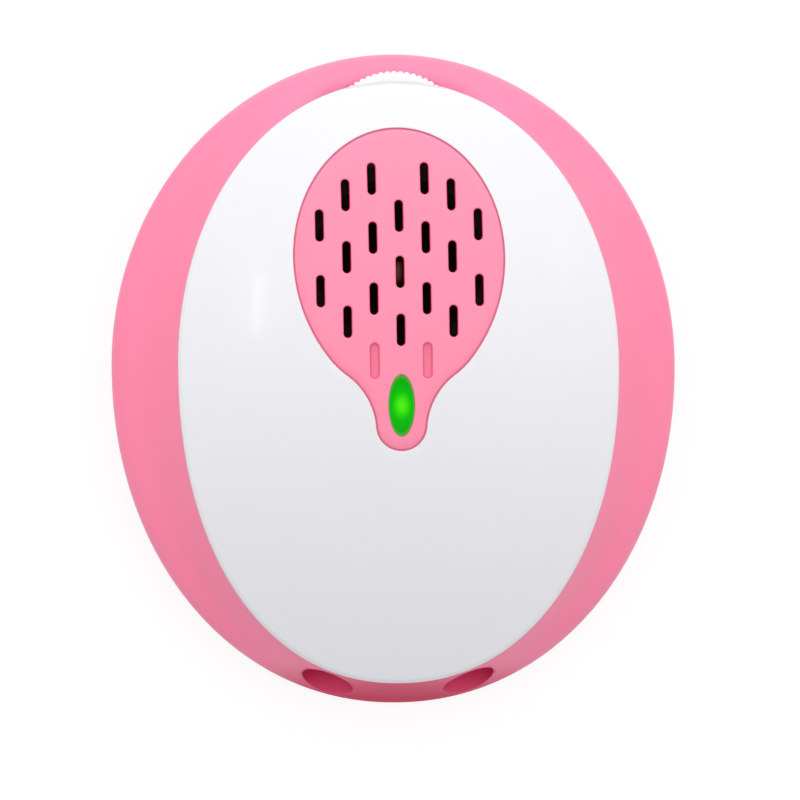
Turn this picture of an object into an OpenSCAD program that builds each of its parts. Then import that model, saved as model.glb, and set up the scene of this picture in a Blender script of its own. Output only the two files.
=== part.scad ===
/* [Case] */
// Half of the widest width of the case
case_half_w = 47; // [46.5:0.25:47.5]
// Distance from the widest line to the wheel end
case_up_l = 51.75; // [51.5:0.25:52.25]
// Distance from the widest line to the jack end
case_down_l = 56.25; // [56:0.25:56.75]
// Y of the widest line of the case
case_mid_y = 2.25; // [2:0.05:2.5]
// Height of the widest rim above the back
rim_z = 13; // [12.8:0.1:13.2]
// Height at which the rear shell meets the frame
seam_z = 12; // [11.8:0.1:12.2]
// Wall thickness of the pink shells
wall = 1.8; // [1.7:0.05:1.9]

/* [Front cover] */
// Height of the crown above the back
crown_z = 35.2; // [35:0.1:36]
// Radius of the domed front across the case
dome_r = 101; // [100:0.5:102]
// How much longer the dome is along the case than across it
dome_stretch = 1.04; // [1.03:0.01:1.05]
// Wall thickness of the front cover
cover_t = 2; // [1.9:0.05:2.1]
// Half width of the front cover outline
cover_half_w = 36.7; // [36.5:0.05:36.9]
// Length of the cover outline above its widest line
cover_up_l = 47.5; // [47.3:0.05:47.7]
// Length of the cover outline below its widest line
cover_down_l = 52.75; // [52.5:0.05:53]
// Y of the widest line of the cover
cover_mid_y = 2.1; // [2:0.05:2.2]
// Height of the bottom edge of the cover wall
cover_low_z = 21.7; // [21.6:0.05:21.8]

/* [Speaker grille] */
// Half width of the pear-shaped grille
grille_half_w = 17.6; // [17.4:0.1:17.8]
// Y of the widest line of the grille
grille_mid_y = 20.1; // [20:0.05:20.2]
// Thickness of the grille panel
grille_t = 1.35; // [1.2:0.05:1.4]
// Width of a sound slot
slot_w = 1.45; // [1.2:0.05:1.6]
// Length of a sound slot
slot_l = 5.35; // [4.8:0.05:5.6]
// Distance between columns of slots
slot_pitch = 4.39; // [4.3:0.01:4.5]

/* [Volume wheel] */
// Outer radius of the wheel over its knurls
wheel_r = 12.1; // [11.8:0.05:12.2]
// Y of the wheel axis
wheel_y = 39; // [38.9:0.05:39.05]
// Height of the underside of the wheel
wheel_z = 19.3; // [19.2:0.05:19.4]
// Thickness of the wheel
wheel_t = 2.6; // [2.4:0.05:2.65]
// Number of knurls round the wheel
knurl_count = 68; // [40:1:72]

/* [Jacks] */
// Distance of each jack from the middle
jack_x = 11.7; // [11.5:0.1:11.9]
// Height of the jack axis above the back
jack_z = 17.75; // [17.7:0.05:17.8]
// Radius of the recess round each jack
recess_r = 4.15; // [4.05:0.05:4.2]
// Radius of the socket for a 3.5 mm plug
socket_r = 1.8; // [1.76:0.01:1.84]

/* [Probe] */
// Outer radius of the probe housing
probe_r = 17.5; // [17:0.1:17.6]
// Y of the probe axis
probe_y = -25; // [-25.4:0.1:-24.8]
// Radius of the pair of crystals
crystal_r = 12; // [11:0.1:13]

/* [Battery bay] */
// Inner width of the bay
bay_w = 54; // [53.6:0.1:54]
// Y of the lower side of the bay
bay_y0 = -2.2; // [-2.3:0.05:-2.1]
// Inner height of the bay along the case
bay_l = 26.6; // [26.5:0.05:26.7]
// Height of the ceiling of the bay
bay_z = 19.6; // [19.5:0.05:19.7]

/* [Hidden] */
$fn = 144;

pink = "#fb8fb0";
white = "#f4f4f6";
black = "#1c1c1e";
copper = "#b87a4a";
steel = "#b9bcc2";
green_board = "#1f6b43";
tan_pad = "#c9b18a";

dome_z = crown_z - dome_r;          // centre of the domed front
shoulder_w = 20.5;                  // radial reach of the shoulder above the rim
shoulder_h = 17;                    // height of the shoulder above the rim
back_w = 11;                        // radial reach of the rounding below the rim
pocket_gap = 0.1;                   // gap between the cover and its pocket
pocket_wall = 1.8;                  // wall round the pocket for the cover
ledge_w = 5;                        // width of the ledge that carries the board
ledge_z = cover_low_z - 0.1;        // top of the ledge
ledge_t = 1.5;
board_z = ledge_z;                  // underside of the main board
board_t = 1.6;
board_top = board_z + board_t;
board_end_y = 25.6;                 // straight end of the board towards the wheel
grille_up_l = 21.5;                 // grille outline, widest line to top
grille_up_r = 15.2;
grille_down_l = 22.3;               // grille outline, widest line to the round lower end
grille_down_r = 14.8;
tip_r = 4.1;                        // radius of the tip of the pear
tip_y = -28;                        // tip centre from the widest line
neck_r = 12;                        // concave blend from the pear into its tip
led_y = -4.5;
led_half_w = 2.1;
led_half_l = 5.1;
led_end_r = 1.1;
speaker_y = 20;
speaker_r = 16.4;
speaker_rise = sqrt(dome_r * dome_r - pow(speaker_y / dome_stretch, 2));
speaker_z = dome_z + speaker_rise;  // height of the dome over the speaker
speaker_tilt = atan(speaker_y / (dome_stretch * dome_stretch * speaker_rise));
speaker_top = -3.1;                 // top of the speaker, below the dome
hole_r = 16.6;                      // sound opening under the grille
wheel_gap = 0.4;
shaft_r = 3;
volume_board_z = 10.8;
volume_board_t = 1.4;
pot_z = volume_board_z + volume_board_t;
pot_h = 5;
recess_y = -45.4;                   // floor of the jack recess
jack_wall = 1.5;
jack_y = recess_y + jack_wall;      // face of the jack body
jack_l = 12.4;
jack_w = 7.2;
jack_room = jack_w + 0.2;
nozzle_r = 3;
probe_pad_z = 2.6;
seal_t = 0.6;
probe_h = 10;
face_t = 1.4;
crystal_t = 0.8;
crystal_gap = 0.8;
backing_t = 4.3;
bay_wall = 1.4;
bay_mid_y = bay_y0 + bay_l / 2;
door_x = 28;
door_y0 = bay_y0 - 1.2;
door_l = bay_l + 2.4;
door_z = 0.15;
door_t = 1.6;
door_gap = 0.3;
hook_x = 16;
hook_w = 6;
post_x = 31;
post_up_y = 31;
post_down_y = -27;
post_z = 4;                         // foot of the screw posts, inside the rounded back
post_r = 3.6;
lug_r = 2.3;
lugs = [[31.2, 10], [-31.2, 10], [24.2, -31], [-24.2, -31]];
board_corner_r = 42.4;              // keeps the board clear of the dome
slot_sets = [[0, [26.9, 17.6, 8]], [1, [33.1, 23.3, 13.2]], [2, [30.4, 20.1, 9.4]],
  [3, [25.4, 14.5]]];
blind_y = 2.9;
blind_w = 1.6;
blind_l = 6;
blind_depth = 0.6;
eps = 0.01;

// part of a disc inside a wedge of a polygon
module disc_in(c, r, points) {
  intersection() {
    translate(c) circle(r);
    polygon(points);
  }
}

// half of an oval above the X axis, drawn with two side arcs and an end arc
module half_oval(a, b, r) {
  d = b - r;
  big = (a * a + d * d - r * r) / (2 * (a - r));
  turn = atan2(d, big - a);
  far = 2 * b;
  aim = [far * cos(turn), d + far * sin(turn)];
  disc_in([a - big, 0], big, [[0, 0], [far, 0], aim, [0, d]]);
  disc_in([big - a, 0], big, [[0, 0], [-far, 0], [-aim[0], aim[1]], [0, d]]);
  disc_in([0, d], r, [[0, d], aim, [0, d + 2 * far], [-aim[0], aim[1]]]);
}

module oval(a, up, up_r, down, down_r) {
  half_oval(a, up, up_r);
  mirror([0, 1]) half_oval(a, down, down_r);
}

// half of an ellipse above the X axis
module half_ellipse(a, b) {
  intersection() {
    scale([1, b / a]) circle(a);
    translate([-2 * a, 0]) square([4 * a, 2 * b]);
  }
}

module cover_outline(o) {
  translate([0, cover_mid_y]) {
    half_ellipse(cover_half_w + o, cover_up_l + o);
    mirror([0, 1]) half_ellipse(cover_half_w + o, cover_down_l + o);
  }
}

module grille_outline(o) {
  low = grille_down_r - grille_down_l;        // centre of the round lower end
  far = grille_down_r + neck_r;
  near = tip_r + neck_r;
  span = low - tip_y;
  drop = (span * span + far * far - near * near) / (2 * span);
  neck = [sqrt(far * far - drop * drop), low - drop];
  top_y = low + (grille_down_r + o) * (neck[1] - low) / far;
  end_y = tip_y + (tip_r + o) * (neck[1] - tip_y) / near;
  translate([0, grille_mid_y]) {
    oval(grille_half_w + o, grille_up_l + o, grille_up_r + o, grille_down_l + o, grille_down_r + o);
    translate([0, tip_y]) circle(tip_r + o);
    difference() {
      translate([-neck[0], end_y]) square([2 * neck[0], top_y - end_y]);
      for (s = [-1, 1]) translate([s * neck[0], neck[1]]) circle(neck_r - o);
    }
  }
}

module led_outline(o) {
  translate([0, led_y])
    oval(led_half_w + o, led_half_l + o, led_end_r + o, led_half_l + o, led_end_r + o);
}

module capsule(w, l) {
  square([w, l - w], center = true);
  for (s = [-1, 1]) translate([0, s * (l - w) / 2]) circle(w / 2);
}

module round_plate(w, l, r) {
  square([w, l - 2 * r], center = true);
  square([w - 2 * r, l], center = true);
  for (x = [-1, 1], y = [-1, 1]) translate([x * (w / 2 - r), y * (l / 2 - r)]) circle(r);
}

// right-hand profile of the case, grown by o, between two heights
module case_profile(o, z0, z1) {
  intersection() {
    translate([0, z0]) square([2 * case_half_w, z1 - z0]);
    union() {
      intersection() {
        translate([case_half_w - shoulder_w, rim_z])
          scale([(shoulder_w + o) / (shoulder_h + o), 1]) circle(shoulder_h + o);
        translate([case_half_w - shoulder_w, rim_z]) square([2 * shoulder_w, 2 * shoulder_h]);
      }
      intersection() {
        translate([case_half_w - back_w, rim_z])
          scale([(back_w + o) / (rim_z + o), 1]) circle(rim_z + o);
        translate([case_half_w - back_w, -rim_z]) square([2 * back_w, 2 * rim_z]);
      }
      translate([0, -o]) square([case_half_w - back_w, rim_z + o]);
      translate([0, rim_z]) square([case_half_w - shoulder_w, shoulder_h + o]);
    }
  }
}

module case_solid(o, z0, z1) {
  translate([0, case_mid_y, 0]) for (turn = [0, 90]) {
    scale([1, case_up_l / case_half_w, 1])
      rotate_extrude(angle = 90, start = turn) case_profile(o, z0, z1);
    scale([1, case_down_l / case_half_w, 1])
      rotate_extrude(angle = 90, start = 180 + turn) case_profile(o, z0, z1);
  }
}

module dome(o) {
  translate([0, 0, dome_z]) scale([1, dome_stretch, 1])
    rotate([90, 0, 0]) sphere(dome_r + o, $fn = 180);
}

module on_dome() { translate([0, speaker_y, speaker_z]) rotate([-speaker_tilt, 0, 0]) children(); }

module at_posts(z) {
  for (s = [-1, 1], y = [post_up_y, post_down_y]) translate([s * post_x, y, z]) children();
}

module wheel_room(z) {
  translate([0, wheel_y, wheel_z - 0.3]) cylinder(r = wheel_r + wheel_gap, h = z - wheel_z + 0.3);
}

module front_cover() {
  color(white) difference() {
    union() {
      difference() {
        intersection() {
          translate([0, 0, cover_low_z]) linear_extrude(crown_z) cover_outline(0);
          dome(0);
        }
        intersection() {
          translate([0, 0, cover_low_z - 1]) linear_extrude(crown_z) cover_outline(-cover_t);
          dome(-cover_t);
        }
      }
      on_dome() translate([0, 0, speaker_top - 1.8]) difference() {
        cylinder(r = 18, h = 1.7);
        translate([0, 0, -1]) cylinder(r = speaker_r + 0.2, h = 4);
      }
    }
    difference() {
      translate([0, 0, crown_z - 10]) linear_extrude(20) grille_outline(0.1);
      dome(-grille_t);
    }
    on_dome() translate([0, 0, speaker_top - 4]) cylinder(r = hole_r, h = 8);
    translate([0, 0, crown_z - 10]) linear_extrude(20) led_outline(0.1);
    wheel_room(wheel_z + wheel_t + 0.3);
  }
}

module mid_frame() {
  color(pink) difference() {
    union() {
      difference() {
        case_solid(0, seam_z, crown_z);
        case_solid(-wall, seam_z - 1, crown_z);
      }
      intersection() {
        union() {
          translate([0, 0, ledge_z - ledge_t]) linear_extrude(crown_z) difference() {
            cover_outline(pocket_wall);
            cover_outline(-ledge_w);
          }
          at_posts(seam_z) cylinder(r = 3.2, h = ledge_z - seam_z);
          for (p = lugs) translate([p[0], p[1], ledge_z - 4.6]) cylinder(r = lug_r, h = 4.6);
          for (s = [-1, 1]) translate([s * jack_x, jack_y, jack_z])
            rotate([90, 0, 0]) cylinder(r = recess_r + 1.2, h = 12);
        }
        case_solid(-0.5, seam_z, crown_z);
      }
    }
    translate([0, 0, ledge_z]) linear_extrude(crown_z) cover_outline(pocket_gap);
    for (s = [-1, 1]) translate([s * jack_x - jack_room / 2, jack_y, jack_z - jack_room / 2])
      cube([jack_room, jack_l + 1, 20]);
    translate([-bay_w / 2 - bay_wall - 0.2, bay_y0, seam_z])
      cube([bay_w + 2 * bay_wall + 0.4, bay_l + bay_wall + 0.2, bay_z - seam_z + bay_wall + 0.1]);
    at_posts(seam_z - 1) cylinder(r = 1, h = 8);
    for (p = lugs) translate([p[0], p[1], ledge_z - 3.6]) cylinder(r = 0.8, h = 5);
    for (s = [-1, 1]) translate([s * jack_x, 0, jack_z]) rotate([90, 0, 0]) {
      translate([0, 0, -recess_y]) cylinder(r = recess_r, h = 12);
      translate([0, 0, -jack_y - 1]) cylinder(r = nozzle_r + 0.1, h = 6);
    }
    wheel_room(crown_z);
    translate([0, 70, wheel_z - 0.2 + 20]) rotate([90, 0, 0]) cylinder(r = 20, h = 26);
  }
}

module rear_shell() {
  color(pink) difference() {
    union() {
      difference() {
        case_solid(0, 0, seam_z);
        case_solid(-wall, wall, seam_z + 1);
      }
      translate([-30, bay_y0 - 3.4, 0.5]) cube([60, bay_l + 6.2, 4.1]);
      translate([-bay_w / 2 - bay_wall, bay_y0 - bay_wall, 1])
        cube([bay_w + 2 * bay_wall, bay_l + 2 * bay_wall, bay_z + 0.3]);
      translate([0, probe_y, 1.2]) cylinder(r = probe_r + 2.8, h = probe_pad_z - 1.2);
      at_posts(post_z) cylinder(r = post_r, h = seam_z - post_z);
      for (s = [-1, 1]) translate([s * 8, wheel_y - 3, 1]) cylinder(r = 2, h = volume_board_z - 1);
    }
    translate([-bay_w / 2, bay_y0, -1]) cube([bay_w, bay_l, bay_z + 1]);
    translate([0, bay_mid_y, -1])
      linear_extrude(1 + door_z + door_t + 0.05)
        round_plate(2 * (door_x + door_gap), door_l + 2 * door_gap, 2);
    for (s = [-1, 1]) translate([s * hook_x - hook_w / 2 - 0.4, door_y0 - 1.8, door_z + door_t])
      cube([hook_w + 0.8, 3.4, 1.9]);
    for (s = [-1, 1]) translate([bay_w / 2 - 1.3, bay_mid_y + s * 3, bay_z - 1])
      cylinder(r = 0.9, h = 4);
    translate([0, probe_y, -1]) cylinder(r = probe_r + 0.1, h = 8);
    at_posts(-1) cylinder(r = 2.9, h = 7);
    at_posts(0) cylinder(r = 1.25, h = 20);
    translate([0, door_y0 + door_l + 2, -6.6]) sphere(8);
  }
}

module speaker_grille() {
  color(pink) difference() {
    intersection() {
      translate([0, 0, crown_z - 10]) linear_extrude(20) grille_outline(0);
      dome(0.15);
    }
    dome(-grille_t);
    translate([0, 0, crown_z - 10]) linear_extrude(20) {
      for (set = slot_sets, y = set[1], s = set[0] == 0 ? [0] : [-1, 1])
        translate([s * set[0] * slot_pitch, y]) capsule(slot_w, slot_l);
      led_outline(0.1);
    }
    difference() {
      translate([0, 0, crown_z - 10]) linear_extrude(20)
        for (s = [-1, 1]) translate([s * slot_pitch, blind_y]) capsule(blind_w, blind_l);
      dome(-blind_depth);
    }
  }
}

module led_lens() {
  color("#12c412") {
    intersection() {
      translate([0, 0, crown_z - 5]) linear_extrude(10) led_outline(0);
      dome(0.35);
    }
    intersection() {
      translate([0, 0, crown_z - 5]) linear_extrude(10) led_outline(0.6);
      dome(-cover_t - 0.05);
    }
  }
}

module speaker_gasket() {
  color(black) on_dome() translate([0, 0, speaker_top]) difference() {
    cylinder(r = speaker_r, h = 0.3);
    translate([0, 0, -1]) cylinder(r = 14, h = 3);
  }
}

module speaker_frame() {
  color(steel) on_dome() rotate_extrude() translate([0, speaker_top])
    polygon([[5.6, -3.8], [9, -3.8], [13.6, -1.4], [speaker_r, -1.4], [speaker_r, 0], [14.4, 0],
      [14.4, -0.6], [12.9, -0.6], [8.6, -2.9], [5.6, -2.9]]);
}

module speaker_cone() {
  color(black) on_dome() rotate_extrude() translate([0, speaker_top])
    polygon([[14.3, -0.6], [14.3, -0.35], [13.4, 0.1], [12.5, -0.35], [4.4, -2.1], [4.4, -2.4],
      [12.5, -0.6]]);
}

module speaker_dust_cap() {
  cap_r = 4.3;
  cap_h = 1.1;
  ball = (cap_r * cap_r + cap_h * cap_h) / (2 * cap_h);
  color(copper) on_dome() translate([0, 0, speaker_top - 2.05]) intersection() {
    translate([0, 0, cap_h - ball]) difference() {
      sphere(ball);
      sphere(ball - 0.25);
    }
    cylinder(r = cap_r, h = 3);
  }
}

module speaker_magnet() {
  color(steel) on_dome() translate([0, 0, speaker_top - 5.6]) {
    cylinder(r = 6.5, h = 1.8);
    cylinder(r = 3.8, h = 3);
  }
}

module speaker_leads() {
  color("#a33") for (s = [-1, 1]) translate([s * 2.5, 4.6, board_top]) cylinder(r = 0.45, h = 8.2);
}

module volume_wheel() {
  knurl = 0.45;
  color(white) translate([0, wheel_y, wheel_z]) difference() {
    linear_extrude(wheel_t) {
      circle(wheel_r - knurl);
      for (i = [0 : knurl_count - 1]) rotate(i * 360 / knurl_count)
        translate([wheel_r - knurl, 0]) circle(knurl, $fn = 24);
    }
    translate([0, 0, -1]) cylinder(r = shaft_r, h = wheel_t + 2);
    translate([0, 0, wheel_t - 1.1]) cylinder(r = 4.4, h = 2);
  }
}

module wheel_screw() {
  color(steel) translate([0, wheel_y, wheel_z + wheel_t - 1.1]) difference() {
    union() {
      cylinder(r = 3.4, h = 0.9);
      translate([0, 0, -2.8]) cylinder(r = 0.9, h = 3);
    }
    translate([0, 0, 0.4]) for (a = [0, 90]) rotate(a) translate([-1.6, -0.3, 0]) cube([3.2, 0.6, 1]);
  }
}

module potentiometer_shaft() {
  top = wheel_z + wheel_t - 1.1;
  color(white) translate([0, wheel_y, 0]) difference() {
    translate([0, 0, pot_z + 1]) cylinder(r = shaft_r, h = top - pot_z - 1);
    translate([0, 0, top - 2.8]) cylinder(r = 0.9, h = 3);
  }
}

module potentiometer_body() {
  color(steel) translate([0, wheel_y, pot_z]) difference() {
    union() {
      cylinder(r = 8, h = pot_h - 1);
      cylinder(r = 5, h = pot_h);
    }
    translate([0, 0, 0.9]) cylinder(r = shaft_r + 0.05, h = pot_h);
  }
}

module volume_board() {
  color(green_board) translate([-13, wheel_y - 9, volume_board_z]) cube([26, 16, volume_board_t]);
}

module volume_ribbon() {
  y = board_end_y + 0.4;
  color("#999") translate([-13, 0, 0]) rotate([90, 0, 90]) linear_extrude(5)
    polygon([[30.2, pot_z], [30.7, pot_z], [30.7, 13.8], [y + 0.5, 18.2], [y + 0.5, board_top + 0.9],
      [y - 3, board_top + 0.9], [y - 3, board_top], [y - 2.5, board_top], [y - 2.5, board_top + 0.4],
      [y, board_top + 0.4], [y, 18], [30.2, 13.6]]);
}

module main_board() {
  color(green_board) translate([0, 0, board_z]) linear_extrude(board_t) difference() {
    intersection() {
      cover_outline(-2.4);
      circle(board_corner_r);
      translate([-50, -60]) square([100, 60 + board_end_y]);
    }
    for (p = lugs) translate([p[0], p[1]]) circle(1.1);
  }
}

module integrated_circuits() {
  color(black) translate([0, 0, board_top]) {
    translate([-20, -25, 0]) cube([12, 12, 1.6]);
    translate([8, -30, 0]) cube([10, 4, 1.5]);
    translate([15, 2, 0]) cube([5, 4, 1.5]);
    translate([-21, 4, 0]) cube([5, 4, 1.5]);
  }
}

module capacitors() {
  color("#27408b") translate([0, 0, board_top]) {
    for (p = [[18, -9], [12, -11], [-14, -5]]) translate([p[0], p[1], 0]) cylinder(r = 2.5, h = 5.5);
  }
}

module quartz_crystal() {
  color(steel) translate([-5, -34, board_top]) linear_extrude(3) rotate(90) capsule(4.6, 11);
}

module surface_mount_parts() {
  color(tan_pad) translate([0, 0, board_top]) {
    for (i = [0 : 5]) translate([26 + 2 * (i % 2), -8 - 3 * i, 0]) cube([2, 1.2, 0.6]);
    for (i = [0 : 5]) translate([-27 + 4 * i, -12, 0]) cube([1.2, 2, 0.6]);
    for (i = [0 : 3]) translate([-24 + 3 * i, 16, 0]) cube([1.2, 2, 0.6]);
    for (i = [0 : 3]) translate([14 + 3 * i, 16, 0]) cube([1.2, 2, 0.6]);
  }
}

module indicator_led() {
  color("#aaffaa") translate([0, led_y, 0]) {
    translate([0, 0, board_top + 2]) cylinder(r = 1.5, h = 3.2);
    translate([0, 0, board_top + 5.2]) intersection() {
      sphere(1.5);
      cylinder(r = 1.5, h = 2);
    }
    for (s = [-1, 1]) translate([s * 1, 0, board_top]) cylinder(r = 0.25, h = 3);
  }
}

module headphone_jack(s) {
  color(black) difference() {
    union() {
      translate([s * jack_x - jack_w / 2, jack_y, jack_z - jack_w / 2])
        cube([jack_w, jack_l, board_z - jack_z + jack_w / 2]);
      translate([s * jack_x, jack_y + 1, jack_z]) rotate([90, 0, 0])
        cylinder(r = nozzle_r, h = 1 + jack_wall);
    }
    translate([s * jack_x, jack_y + 10, jack_z]) rotate([90, 0, 0]) cylinder(r = socket_r, h = 14);
  }
}

module headphone_jack_left() { headphone_jack(-1); }

module headphone_jack_right() { headphone_jack(1); }

module probe_housing() {
  flange_z = probe_pad_z + seal_t;
  color(white) translate([0, probe_y, 0]) difference() {
    union() {
      cylinder(r = probe_r, h = probe_h);
      translate([0, 0, flange_z]) cylinder(r = probe_r + 1.8, h = 1.2);
    }
    translate([0, 0, -1]) cylinder(r = probe_r - 1.5, h = probe_h - 0.2);
    for (s = [-1, 1]) translate([s * 2.2, 0, 0]) cylinder(r = 1, h = probe_h + 1);
  }
}

module probe_seal() {
  color(black) translate([0, probe_y, probe_pad_z]) difference() {
    cylinder(r = probe_r + 1.8, h = seal_t);
    translate([0, 0, -1]) cylinder(r = probe_r, h = seal_t + 2);
  }
}

module probe_face() {
  color("#e8e4dc") translate([0, probe_y, 0]) cylinder(r = probe_r - 1.5, h = face_t);
}

module crystal_half(s) {
  color(copper) translate([0, probe_y, face_t]) linear_extrude(crystal_t) intersection() {
    circle(crystal_r);
    translate([s > 0 ? crystal_gap / 2 : -crystal_gap / 2 - 2 * crystal_r, -crystal_r])
      square([2 * crystal_r, 2 * crystal_r]);
  }
}

module transmit_crystal() { crystal_half(-1); }

module receive_crystal() { crystal_half(1); }

module crystal_backing() {
  color("#6d6a66") translate([0, probe_y, face_t + crystal_t])
    cylinder(r = probe_r - 1.6, h = backing_t);
}

module probe_leads() {
  from_z = face_t + crystal_t + backing_t;
  color("#444") for (s = [-1, 1]) translate([s * 2.2, probe_y, from_z])
    cylinder(r = 0.9, h = board_z - from_z);
}

module battery_door() {
  color(pink) {
    translate([0, bay_mid_y, door_z]) linear_extrude(door_t) round_plate(2 * door_x, door_l, 1.8);
    for (s = [-1, 1]) translate([s * hook_x - hook_w / 2, door_y0 - 1, door_z + door_t + 0.1])
      cube([hook_w, 2.2, 1]);
    for (s = [-1, 1]) translate([s * hook_x - hook_w / 2, door_y0 + 0.3, door_z + door_t - eps])
      cube([hook_w, 0.9, 0.2]);
  }
}

module battery_connector() {
  stud_z = 10.7;
  color(black) translate([bay_w / 2 - 2.6, bay_mid_y - 12.5, 4.5]) cube([2.6, 25, 12.5]);
  color(steel) for (s = [-1, 1]) translate([bay_w / 2 - 2.6, bay_mid_y + s * 6.35, stud_z])
    rotate([0, -90, 0]) cylinder(r = s > 0 ? 2.9 : 3.6, h = 2.4);
}

module battery_leads() {
  color("#a33") for (s = [-1, 1]) translate([bay_w / 2 - 1.3, bay_mid_y + s * 3, 17])
    cylinder(r = 0.7, h = board_z - 17);
}

module battery_foam_pad() {
  color("#333") translate([-bay_w / 2, bay_mid_y - 11, 4]) cube([0.8, 22, 13]);
}

module case_screws() {
  color(steel) at_posts(0) difference() {
    union() {
      translate([0, 0, 4.2]) cylinder(r = 2.6, h = 1.8);
      translate([0, 0, 5.5]) cylinder(r = 0.98, h = 12.5);
    }
    translate([0, 0, 3.7]) for (a = [0, 90]) rotate(a) translate([-1.5, -0.3, 0]) cube([3, 0.6, 1.3]);
  }
}

module board_screws() {
  color(steel) for (p = lugs) translate([p[0], p[1], board_top]) difference() {
    union() {
      cylinder(r = 1.7, h = 0.9);
      translate([0, 0, -4.5]) cylinder(r = 0.78, h = 4.6);
    }
    for (a = [0, 90]) rotate(a) translate([-1, -0.25, 0.5]) cube([2, 0.5, 1]);
  }
}

front_cover();
mid_frame();
rear_shell();
speaker_grille();
led_lens();
speaker_gasket();
speaker_frame();
speaker_cone();
speaker_dust_cap();
speaker_magnet();
speaker_leads();
volume_wheel();
wheel_screw();
potentiometer_shaft();
potentiometer_body();
volume_board();
volume_ribbon();
main_board();
integrated_circuits();
capacitors();
quartz_crystal();
surface_mount_parts();
indicator_led();
headphone_jack_left();
headphone_jack_right();
probe_housing();
probe_seal();
probe_face();
transmit_crystal();
receive_crystal();
crystal_backing();
probe_leads();
battery_door();
battery_connector();
battery_leads();
battery_foam_pad();
case_screws();
board_screws();
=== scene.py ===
import math
import bpy
from mathutils import Matrix, Vector


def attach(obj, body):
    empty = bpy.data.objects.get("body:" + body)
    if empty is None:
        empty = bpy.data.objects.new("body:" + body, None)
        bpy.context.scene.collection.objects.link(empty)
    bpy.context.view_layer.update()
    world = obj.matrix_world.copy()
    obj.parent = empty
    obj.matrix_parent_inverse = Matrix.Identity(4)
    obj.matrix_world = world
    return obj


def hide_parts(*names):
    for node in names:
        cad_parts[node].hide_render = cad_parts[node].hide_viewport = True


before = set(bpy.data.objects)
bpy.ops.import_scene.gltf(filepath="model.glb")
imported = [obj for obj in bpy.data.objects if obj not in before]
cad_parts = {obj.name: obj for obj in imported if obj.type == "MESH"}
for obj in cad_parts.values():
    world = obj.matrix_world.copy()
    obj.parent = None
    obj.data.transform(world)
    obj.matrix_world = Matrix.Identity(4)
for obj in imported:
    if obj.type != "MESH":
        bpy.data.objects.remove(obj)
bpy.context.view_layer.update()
mm = 0.001


def colour(hexCode):  # an sRGB hex value as a linear colour
    parts = [int(hexCode[i:i + 2], 16) / 255 for i in (1, 3, 5)]
    return tuple(p / 12.92 if p <= 0.04045 else ((p + 0.055) / 1.055) ** 2.4 for p in parts) + (1.0,)


def addNode(owner, kind, inputs=None, **settings):  # one node, with its settings, its values and its links
    node = owner.node_tree.nodes.new(kind)
    for key, value in settings.items():
        setattr(node, key, value)
    for key, value in (inputs or {}).items():
        if isinstance(value, bpy.types.NodeSocket):
            owner.node_tree.links.new(value, node.inputs[key])
        else:
            node.inputs[key].default_value = value
    return node


def newMaterial(name):
    material = bpy.data.materials.new(name)
    material.use_nodes = True
    material.node_tree.nodes.clear()
    return material


def paint(piece, material):
    piece.data.materials.clear()
    piece.data.materials.append(material)
    return piece


# camera: looks down on the front, from a little to the left
print("camera")
shot = {"distance": 3000.0, "pixelsPerMm": 6.0, "imageSize": 800, "originAt": (393.6, 378.5),
        "rimZ": 13.0, "lean": 3.4, "roll": 0.5}
cameraData = bpy.data.cameras.new("Camera")
camera = bpy.data.objects.new("Camera", cameraData)
bpy.context.collection.objects.link(camera)
bpy.context.scene.camera = camera
cameraData.lens = cameraData.sensor_width * shot["distance"] * shot["pixelsPerMm"] / shot["imageSize"]
cameraData.clip_start, cameraData.clip_end = 0.01, 20
lean, roll = math.radians(shot["lean"]), math.radians(shot["roll"])
towardsCamera = Vector((-math.sin(lean), 0, math.cos(lean)))
level, upright = Vector((math.cos(lean), 0, math.sin(lean))), Vector((0, 1, 0))
imageRight = level * math.cos(roll) - upright * math.sin(roll)
imageUp = upright * math.cos(roll) + level * math.sin(roll)
offset = [(shot["imageSize"] / 2 - shot["originAt"][0]) / shot["pixelsPerMm"],
          (shot["originAt"][1] - shot["imageSize"] / 2) / shot["pixelsPerMm"]]
aim = Vector((0, 0, shot["rimZ"])) + imageRight * offset[0] + imageUp * offset[1]
camera.rotation_mode = "QUATERNION"
camera.rotation_quaternion = Matrix((imageRight, imageUp, towardsCamera)).transposed().to_quaternion()
camera.location = (aim + towardsCamera * shot["distance"]) * mm

# the ovals of the shells: half width, reach up and down from the widest line, squareness of each half
caseOval = {"halfWidth": 47.0, "up": 51.75, "down": 56.25, "midY": 2.25, "bendUp": 1.995, "bendDown": 2.07}
coverOval = {"halfWidth": 36.65, "up": 47.3, "down": 52.75, "midY": 2.1, "bendUp": 2.05, "bendDown": 2.16}
ledOval = {"halfWidth": 2.18, "up": 5.15, "down": 5.15, "midY": -4.5, "bendUp": 2.0, "bendDown": 2.0}
dome = {"crown": 35.2, "radius": 101.0, "stretch": 1.04}


def domeZ(x, y):  # height of the domed front over a point
    fall = dome["radius"] - math.sqrt(dome["radius"] ** 2 - x ** 2 - (y / dome["stretch"]) ** 2)
    return dome["crown"] - fall


def ovalPoint(oval, turn, grow=0.0):  # a point of an oval, in mm
    side, rise = math.cos(turn), math.sin(turn)
    half = "Up" if rise >= 0 else "Down"
    power = 2 / oval["bend" + half]
    x = math.copysign(abs(side) ** power, side) * (oval["halfWidth"] + grow)
    y = math.copysign(abs(rise) ** power, rise) * (oval[half.lower()] + grow)
    return x, y + oval["midY"]


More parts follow.
